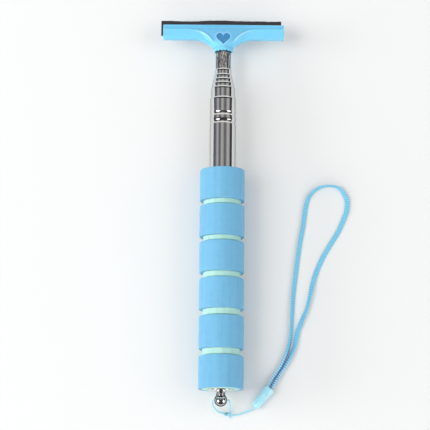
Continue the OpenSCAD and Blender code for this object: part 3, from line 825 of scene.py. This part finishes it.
def make_grip():
    """Six outer foam rings, and the inner layer that shows in the grooves and on the end."""
    top = (GRIP_HIGH.x - GRIP_LOW.x) / 2 / MM
    spans = []
    for i in range(1, 7):
        low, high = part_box(f"grip_ring_{i}")
        y0, h = along_rod(f"grip_ring_{i}")
        r = (high.x - low.x) / 2 / MM
        spans.append((y0, y0 + h))
        c = 0.55  # the rounding of the ring's edges
        side = [(r, y) for y in np.linspace(c + 0.8, h - c - 0.8, 18)]
        inner = top + 0.02
        outline = ([(inner, 0.0), (inner + 0.7, 0.0)] + arc((r - c, c), c, -90, 0, 6) + side
                   + arc((r - c, h - c), c, 0, 90, 6) + [(inner + 0.7, h), (inner, h)])
        ring = lathe(f"grip_foam_ring_{i}", outline, y0, 160, 50, foam_wobble(i * 1.3))
        finished(ring, mat_blue, "handle", "foam_blue", f"grip_ring_{i}")
    # The inner layer: full size under the rings, cut back in the grooves
    deep = top - 0.3
    nick = deep - 1.3
    bore = 8.02
    end = GRIP_HIGH.y / MM
    outline = [(bore, GRIP_Y), (8.2, GRIP_Y), (top - 0.35, GRIP_Y), (top - 0.08, GRIP_Y + 0.12),
               (top, GRIP_Y + 0.45)]
    for (_, last), (first, _) in zip(spans[:-1], spans[1:]):
        outline += [(top, last + 0.02), (top - 0.1, last + 0.03), (nick, last + 0.06), (nick, last + 0.45),
                    (deep - 0.15, last + 0.6), (deep, last + 0.8)]
        outline += [(deep + 0.05 * math.sin(math.pi * t), last + (first - last) * t)
                    for t in (0.25, 0.5, 0.75)]
        outline += [(deep, first - 0.35), (deep + 0.05, first - 0.08), (top - 0.1, first - 0.03),
                    (top, first - 0.02)]
    outline += [(top, end - 0.45), (top - 0.08, end - 0.12), (top - 0.35, end), (bore, end)]
    core = lathe("grip_foam_core", outline, 0, 160, 50)
    finished(core, mat_mint, "handle", "foam_green", "grip_core")


# ---------------------------------------------------------------- head
WING_X, HEAD_H = (HEAD_HIGH.x - HEAD_LOW.x) / 2 / MM, (HEAD_HIGH.y - HEAD_LOW.y) / MM
WING_V = HEAD_H - 9.25  # the wings' rear edge, from the collar's mouth
SWEEP = (19.0, WING_V - 17.0, 17.0)  # the rear edge's arc: its centre and radius
CORNER = 0.6
LIP = 0.42  # the rounding of the head's edges
PLATE = 2.5  # half the wings' thickness
COLLAR_R, SOCKET_R, RIB_DEEP = 6.0, 5.25, 0.58
BLADE_HALF, ROOT_R = 0.8, 1.25
SLOT_HALF, KEY_R = 0.85, 1.3


def rear_edge(x):
    """How far the head's rear edge is from the collar's mouth."""
    a = np.clip(np.abs(x), 6.3, SWEEP[0])
    sweep = SWEEP[1] + np.sqrt(SWEEP[2] ** 2 - (a - SWEEP[0]) ** 2)
    round_off = np.clip(np.abs(x) - (WING_X - CORNER), 0, CORNER)
    return sweep + CORNER - np.sqrt(CORNER ** 2 - round_off ** 2)


def front_edge(x):
    """How far its front edge is."""
    round_off = np.clip(np.abs(x) - (WING_X - CORNER), 0, CORNER)
    return HEAD_H - CORNER + np.sqrt(CORNER ** 2 - round_off ** 2)


def heart_outline(width, tip, height):
    """The usual heart curve, its tip towards the rod."""
    t = np.linspace(0, 2 * math.pi, 120, endpoint=False)
    x = np.sin(t) ** 3 * width / 2
    y = (13 * np.cos(t) - 5 * np.cos(2 * t) - 2 * np.cos(3 * t) - np.cos(4 * t) + 17) / 28.9
    return np.stack([x, tip + y * height], -1)


def signed_distance(points, loop):
    """Distance to a closed loop, negative inside."""
    a, b = loop, np.roll(loop, -1, 0)
    best = np.full(len(points), 1e9)
    inside = np.zeros(len(points), bool)
    for (ax, ay), (bx, by) in zip(a, b):
        dx, dy = bx - ax, by - ay
        px, py = points[:, 0] - ax, points[:, 1] - ay
        t = np.clip((px * dx + py * dy) / (dx * dx + dy * dy), 0, 1)
        best = np.minimum(best, np.hypot(px - t * dx, py - t * dy))
        cross = (ay > points[:, 1]) != (by > points[:, 1])
        at = ax + (points[:, 1] - ay) * dx / (dy if dy else 1e-9)
        inside ^= cross & (points[:, 0] < at)
    return np.where(inside, -best, best)


HEART = heart_outline(8.7, 3.6, 8.2)
# The bands' inner edge, as its distance from the mouth at each X
BAND_X = [0, 5.6, 6.3, 7.2, 8.7, 11.0, 13.0, 15.6, 18.9, 23.0, 38]
BAND_V = [1.9, 4.4, 6.2, 7.6, 9.4, 11.4, 12.7, 13.7, 14.4, 14.7, 14.8]


def head_height(x, v):
    """At x across the head and v from the collar's mouth: half its thickness, the distance to the heart,
    and how much painted shade of the web and painted highlight along the raised rims there is."""
    ax = np.abs(x)
    # The hub falls from the collar's roundness to the wings' thickness
    crest = np.interp(v, [0, 3, 4.6, 11.6, 15.1, 18], [5.58, 5.58, 5.45, 4.3, 2.65, PLATE])
    wide = np.interp(v, [0, 3, 5, 8, 11, 14.8, 18], [5.58, 5.9, 8.2, 11.5, 14.5, 18, 20])
    power = 2 + 0.9 * smooth(3.5, 9, v)
    dome = crest * np.clip(1 - np.clip(ax / wide, 0, 1) ** power, 0, 1) ** (1 / power)
    base = soft_max(PLATE, dome, 0.35) - 0.03
    # Near the collar the section is one round neck out to the head's edge
    reach = SWEEP[0] - np.sqrt(np.clip(SWEEP[2] ** 2 - (v - SWEEP[1]) ** 2, 0, None))
    neck = crest * np.sqrt(np.clip(1 - (ax / np.maximum(reach, 6.3)) ** 2, 0, 1))
    blend = smooth(2.0, 5.6, v)
    h = neck * (1 - blend) + base * blend
    # The web between the bands lies lower, with a bead along the bands' inner edge
    edge = np.interp(ax, BAND_X, BAND_V)
    slope = np.interp(ax, [0, 6, 9, 15, 20], [2.6, 2.0, 1.35, 1.05, 1.0])
    inside = (v - edge) / slope
    h = h - 0.72 * smooth(4.6, 8.9, v) * smooth(-0.20, 0.24, inside)
    h = h + 0.20 * smooth(5.4, 9.4, v) * np.exp(-((inside + 0.50) / 0.34) ** 2)
    # Masks for painted shade on the web and a painted highlight along the bead, then the strip along the
    # front edge, and the thin lip on that edge
    web = smooth(4.6, 8.9, v) * smooth(-0.05, 0.35, inside) * (1 - 0.55 * smooth(9, 28, ax))
    rim = smooth(5.0, 9.5, v) * np.exp(-((inside + 0.45) / 0.48) ** 2) * smooth(20, 13, ax)
    front = HEAD_H - v
    h = h - 0.22 * smooth(2.5, 2.2, front) * smooth(0.5, 0.8, front)
    h = h - 0.10 * smooth(9, 14, ax) * smooth(0.35, 0.1, np.abs(front - 2.35))
    s = signed_distance(np.stack([x, v], -1), HEART)
    # A painted highlight round the heart's raised rim as well
    rim = np.maximum(rim, 0.45 * np.exp(-((s - 0.45) / 0.42) ** 2))
    return h, s, web, rim


def heart_cut(h, v, s):
    """Sinks the heart below the surface h, with a raised rim round it."""
    floor = np.maximum(4.42 - (v - 4.4) * math.tan(math.radians(10.5)), 5.08 - 0.75 * smooth(4.2, 5.3, v))
    h = h + 0.16 * np.exp(-((s - 0.42) / 0.32) ** 2)
    sunk = smooth(0.10, -0.28, s)
    return h * (1 - sunk) + np.minimum(floor, h - 0.4) * sunk


def make_head():
    """One moulding: a skin over the height map, with a collar, a socket and the blade's slot."""
    square = WING_X - CORNER
    half = [*np.arange(0, 7.4, 0.14), *np.arange(7.4, 20, 0.26), *np.arange(20, square - 0.3, 0.9)]
    half += [square + CORNER * math.sin(math.radians(a)) for a in (0, 20, 38, 54, 68, 80, 90)]
    xs = np.array([-x for x in reversed(half[1:])] + half)
    samples = 104
    rows, mask, webs, rims = [], [], [], []
    for x in xs:
        vb, vt = float(rear_edge(x)), float(front_edge(x))
        t = np.linspace(0, 1, samples)
        v = vb + LIP + (vt - vb - 2 * LIP) * t
        h, s, web, rim = head_height(np.full(samples, x), v)
        h = heart_cut(h, v, s)
        out = max(0.0, abs(x) - square) / CORNER
        h = h - 0.38 * (1 - math.sqrt(max(0, 1 - out * out)))
        r0, r1 = min(LIP, 0.55 * h[0]), min(LIP, 0.55 * h[-1])
        profile = [(vb - 0.05, 0.0), (vb - 0.05, 0.07), (vb, 0.13), (vb, (h[0] - r0) * 0.55), (vb, h[0] - r0)]
        profile += [(vb + LIP * (1 - math.cos(q)), h[0] - r0 * (1 - math.sin(q))) for q in (0.4, 0.8, 1.2)]
        profile += list(zip(v, h))
        profile += [(vt - LIP * (1 - math.cos(q)), h[-1] - r1 * (1 - math.sin(q))) for q in (1.2, 0.8, 0.4)]
        profile += [(vt, h[-1] - r1), (vt, (h[-1] - r1) * 0.55), (vt, 0.13), (vt, 0.0)]
        front = [(x, MOUTH_Y + a, AXIS_Z + b) for a, b in profile]
        back = [(x, MOUTH_Y + a, AXIS_Z - b) for a, b in profile[1:-1]][::-1]
        rows.append(front + back)
        for rows_of, values, outside in ((mask, s, 9.0), (webs, web, 0.0), (rims, rim, 0.0)):
            one = [outside] * 8 + list(values) + [outside] * 7
            rows_of.append(one + one[1:-1][::-1])
    around = len(rows[0])
    mask = np.array(mask)
    # Faces on the heart's sunk floor take the darker heart material, painted shade of the recess
    dark = [bool(mask[i, j] < -0.06 and mask[i, (j + 1) % around] < -0.06 and mask[i + 1, j] < -0.06)
            for i in range(len(rows) - 1) for j in range(around)]
    dark += [False, False]
    points = [p for row in rows for p in row]
    mesh = bpy.data.meshes.new("squeegee_head")
    mesh.from_pydata([tuple(c * MM for c in p) for p in points], [], tube_faces(len(rows), around))
    mesh.materials.append(mat_head)
    mesh.materials.append(mat_heart)
    mesh.polygons.foreach_set("material_index", [int(d) for d in dark])
    add_tone(mesh, "web", webs)
    add_tone(mesh, "rim", rims)
    bm = bmesh.new()
    bm.from_mesh(mesh)
    bmesh.ops.recalc_face_normals(bm, faces=bm.faces)
    bm.to_mesh(mesh)
    bm.free()
    head = bpy.data.objects.new("squeegee_head", mesh)
    bpy.context.scene.collection.objects.link(head)

    # The collar
    collar = filleted([(0.02, 0, 0), (5.55, 0, 0.2), (COLLAR_R, 0.75, 0.3), (COLLAR_R, 2.3, 0.4),
                       (5.3, 3.1, 0), (4.9, 3.3, 0), (0.02, 3.3, 0)], 5)

    def scallops(r, y, a):
        """Sixteen shallow notches round the mouth."""
        notch = 0.5 * smooth(-0.4, 0.6, np.cos(16 * a))
        return r, y + notch * smooth(1.3, 0.0, y - MOUTH_Y) * smooth(4.0, 5.0, r)

    ring = lathe("collar", collar, MOUTH_Y, 192, wobble=scallops)
    ring.data.materials.append(mat_head)
    boolean(head, ring, "UNION")
    # Its socket: eight crush ribs in the mouth, the rod's bore and the spigot's
    steps = 192
    a = np.arange(steps) * 2 * math.pi / steps
    from_rib = np.abs((a / (math.pi / 4) + 0.5) % 1 - 0.5) * 45  # degrees
    ribs = SOCKET_R - RIB_DEEP * smooth(7.2, 4.2, from_rib)
    flare, rod, spigot = ribs + 0.16, np.full(steps, 4.66), np.full(steps, SPIGOT_R + 0.02)
    rings = [(-1.0, flare), (0.02, flare), (0.3, ribs), (2.95, ribs), (3.0, rod), (4.2, rod), (4.2, spigot),
             (10.0, spigot)]
    points = [(r[i] * math.sin(a[i]), MOUTH_Y + d, AXIS_Z + r[i] * math.cos(a[i]))
              for d, r in rings for i in range(steps)]
    socket = new_mesh("socket", points, tube_faces(len(rings), steps))
    socket.data.materials.append(mat_head)
    boolean(head, socket, "DIFFERENCE")
    # The blade's slot, a round-bottomed keyhole through the whole length
    low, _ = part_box("blade")
    root = low.y / MM + ROOT_R
    open_at = math.degrees(math.asin(SLOT_HALF / KEY_R))
    past = HEAD_H + MOUTH_Y + 1
    key = [(past, SLOT_HALF)] + arc((root, 0), KEY_R, open_at, 360 - open_at, 20) + [(past, -SLOT_HALF)]
    points = [(x, a, AXIS_Z + b) for x in (-WING_X - 2, WING_X + 2) for a, b in key]
    slot = new_mesh("slot", points, tube_faces(2, len(key)))
    slot.data.materials.append(mat_head)
    boolean(head, slot, "DIFFERENCE")
    shade(head, 30)
    finished(head, None, "head_stage", "head_plastic", "head")


def make_blade():
    """The rubber strip: a round root bead, and a free edge that waves a little."""
    low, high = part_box("blade")
    x0, x1 = low.x / MM, high.x / MM
    y_edge, root = high.y / MM, low.y / MM + ROOT_R
    lip = HEAD_HIGH.y / MM
    open_at = math.degrees(math.asin(BLADE_HALF / ROOT_R))
    bead = arc((root, 0), ROOT_R, open_at, 360 - open_at, 16)
    outside = [lip - 0.3, lip + 0.3, lip + 0.9, lip + 1.5, lip + 2.1, y_edge - 0.25, y_edge - 0.08]
    half = [(y, -BLADE_HALF) for y in outside] + [(y_edge, -BLADE_HALF + 0.12)]
    loop = bead + half + [(y, -z) for y, z in reversed(half)]
    xs = np.concatenate([[x0, x0 + 0.05], np.linspace(x0 + 0.15, x1 - 0.15, 150), [x1 - 0.05, x1]])
    rows = []
    for i, x in enumerate(xs):
        inset = 0.12 if i in (0, len(xs) - 1) else 0.0
        hump = 0.42 * math.exp(-((x + 4) / 9) ** 2) - 0.20 * math.exp(-((x + 22) / 8) ** 2)
        ripple = 0.05 * math.sin(x * 0.55 + 1) + 0.04 * math.sin(x * 1.3)
        lean = 0.22 * math.sin(x * 0.11 + 0.6) + 0.08 * math.sin(x * 0.37)
        row = []
        for y, z in loop:
            free = max(0.0, (y - lip) / (y_edge - lip))
            row.append((x, y + free * (hump + ripple) - inset * (1 if y > root + 2 else 0) * free,
                        AXIS_Z + z * (1 - inset) + free * free * lean))
        rows.append(row)
    blade = new_mesh("rubber_blade", [p for row in rows for p in row], tube_faces(len(rows), len(loop)), 35)
    finished(blade, mat_rubber, "head_stage", "blade_rubber", "blade")


make_camera()
make_cords()
make_floor()
make_lights()
make_tubes()
make_cap_and_ball()
make_grip()
make_head()
make_blade()
